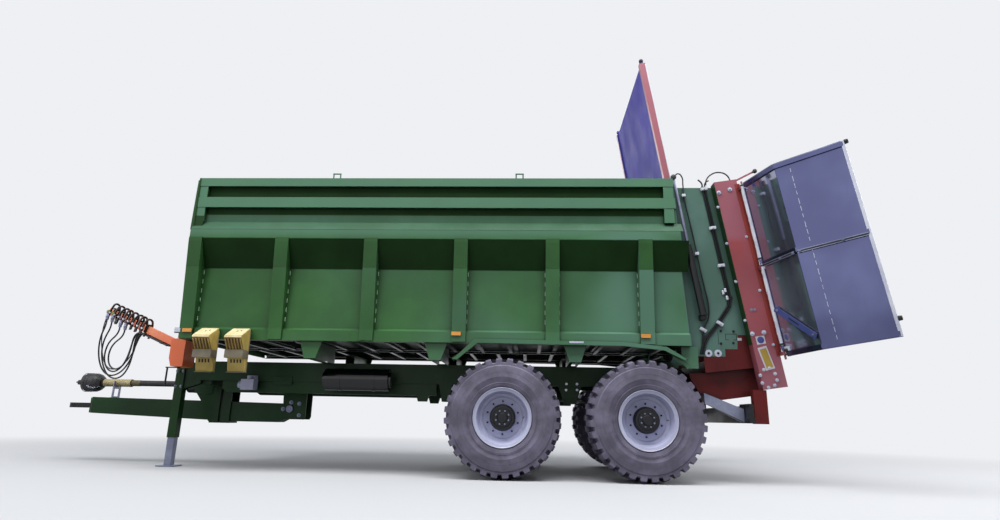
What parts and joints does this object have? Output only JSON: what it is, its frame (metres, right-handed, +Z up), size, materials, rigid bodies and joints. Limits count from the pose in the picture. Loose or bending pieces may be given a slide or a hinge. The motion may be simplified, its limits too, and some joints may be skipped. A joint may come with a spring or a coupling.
{
  "type": "tandem-axle manure spreader",
  "caption": "Towed tandem-axle manure spreader: green steel tub with a chain floor, raised rear gate, leaning beaters and open spread doors.",
  "frame": {"origin": "on the ground, below the middle of the whole machine", "axes": "+X to the rear, +Y to the right-hand side of the machine, +Z up"},
  "size_m": [9.1506, 4.1752, 4.9246],
  "materials": {
    "tyre_rubber": "ribbed, dull",
    "hose_rubber": "smooth, satin",
    "rubber_black": "smooth, dull",
    "silver_paint": "satin",
    "dark_green_paint": "satin",
    "green_paint": "semi-gloss",
    "red_paint": "semi-gloss",
    "blue_paint": "semi-gloss",
    "orange_paint": "semi-gloss",
    "black_steel": "satin",
    "galvanised": "galvanised",
    "black_plastic": "matt",
    "yellow_plastic": "matt",
    "amber_lens": "clear, glossy"
  },
  "bodies": {
    "machine": {"axles": "dark_green_paint", "leaf_springs": "black_steel", "spring_hangers": "dark_green_paint", "chassis": "dark_green_paint", "drawbar": "dark_green_paint", "drawbar_pins": "galvanised", "drawbar_yokes": "dark_green_paint", "drawbar_buffer": "rubber_black", "tow_eye": "black_steel", "jack_tube": "green_paint", "pto_shaft": "black_plastic", "pto_support": "galvanised", "driveline": "dark_green_paint", "side_left": "green_paint", "side_right": "green_paint", "front_wall": "green_paint", "floor_frame": "dark_green_paint", "floor_chains": "black_steel", "chain_shafts": "black_steel", "body_brackets": "green_paint", "mudguards": "green_paint", "air_tank": "black_steel", "brake_valve": "silver_paint", "chock_holders": "galvanised", "wheel_chocks": "yellow_plastic", "hose_box": "orange_paint", "hose_rack": "black_steel", "hose_1": "hose_rubber", "hose_2": "hose_rubber", "hose_3": "hose_rubber", "hose_4": "hose_rubber", "lead_1": "hose_rubber", "side_lamps": "amber_lens", "housings": "green_paint", "wall_pipes": "black_steel", "gate_guides": "red_paint", "gate_cylinders": "black_steel", "rear_frames": "red_paint", "top_beam": "red_paint", "beater_bed": "red_paint", "rear_pan": "red_paint", "rear_legs": "red_paint", "light_bars": "black_steel"},
    "wheel_front_left": {"tyre_front_left": "tyre_rubber", "rim_front_left": "silver_paint"},
    "wheel_front_right": {"tyre_front_right": "tyre_rubber", "rim_front_right": "silver_paint"},
    "wheel_rear_left": {"tyre_rear_left": "tyre_rubber", "rim_rear_left": "silver_paint"},
    "wheel_rear_right": {"tyre_rear_right": "tyre_rubber", "rim_rear_right": "silver_paint"},
    "gate": {"gate": "blue_paint"},
    "rods": {"gate_rods": "galvanised"},
    "beater_left": {"beater_left": "red_paint", "flights_left": "red_paint"},
    "beater_right": {"beater_right": "red_paint", "flights_right": "red_paint"},
    "door_left": {"door_left": "galvanised"},
    "door_right": {"door_right": "galvanised"},
    "jack_leg": {"jack_leg": "galvanised"}
  },
  "joints": [
    {"name": "wheel_front_left_spin", "type": "hinge", "parent": "machine", "child": "wheel_front_left", "pos_m": [0.97, -0.965, 0.615], "axis": [0, 1, 0], "continuous": true},
    {"name": "wheel_front_right_spin", "type": "hinge", "parent": "machine", "child": "wheel_front_right", "pos_m": [0.97, 0.965, 0.615], "axis": [0, 1, 0], "continuous": true},
    {"name": "wheel_rear_left_spin", "type": "hinge", "parent": "machine", "child": "wheel_rear_left", "pos_m": [2.46, -0.965, 0.615], "axis": [0, 1, 0], "continuous": true},
    {"name": "wheel_rear_right_spin", "type": "hinge", "parent": "machine", "child": "wheel_rear_right", "pos_m": [2.46, 0.965, 0.615], "axis": [0, 1, 0], "continuous": true},
    {"name": "beater_left_spin", "type": "hinge", "parent": "machine", "child": "beater_left", "pos_m": [3.438, -0.5, 3.25], "axis": [-0.1495, 0, 0.9888], "continuous": true},
    {"name": "beater_right_spin", "type": "hinge", "parent": "machine", "child": "beater_right", "pos_m": [3.438, 0.5, 3.25], "axis": [-0.1495, 0, 0.9888], "continuous": true},
    {"name": "gate_lift", "type": "slide", "parent": "machine", "child": "gate", "axis": [-0.1495, 0, 0.9888], "range_m": [-1.34, 0]},
    {"name": "rod_lift", "type": "slide", "parent": "machine", "child": "rods", "axis": [-0.1495, 0, 0.9888], "range_m": [-0.67, 0]},
    {"name": "door_left_swing", "type": "hinge", "parent": "machine", "child": "door_left", "pos_m": [3.596, -1.195, 3.25], "axis": [-0.1495, 0, 0.9888], "range_deg": [0, 72]},
    {"name": "door_right_swing", "type": "hinge", "parent": "machine", "child": "door_right", "pos_m": [3.596, 1.195, 3.25], "axis": [-0.1495, 0, 0.9888], "range_deg": [-72, 0]},
    {"name": "jack_slide", "type": "slide", "parent": "machine", "child": "jack_leg", "axis": [0, 0, 1], "range_m": [0, 0.29]}
  ],
  "couplings": [
    {"joint": "rod_lift", "follows": "gate_lift", "ratio": 0.5}
  ]
}
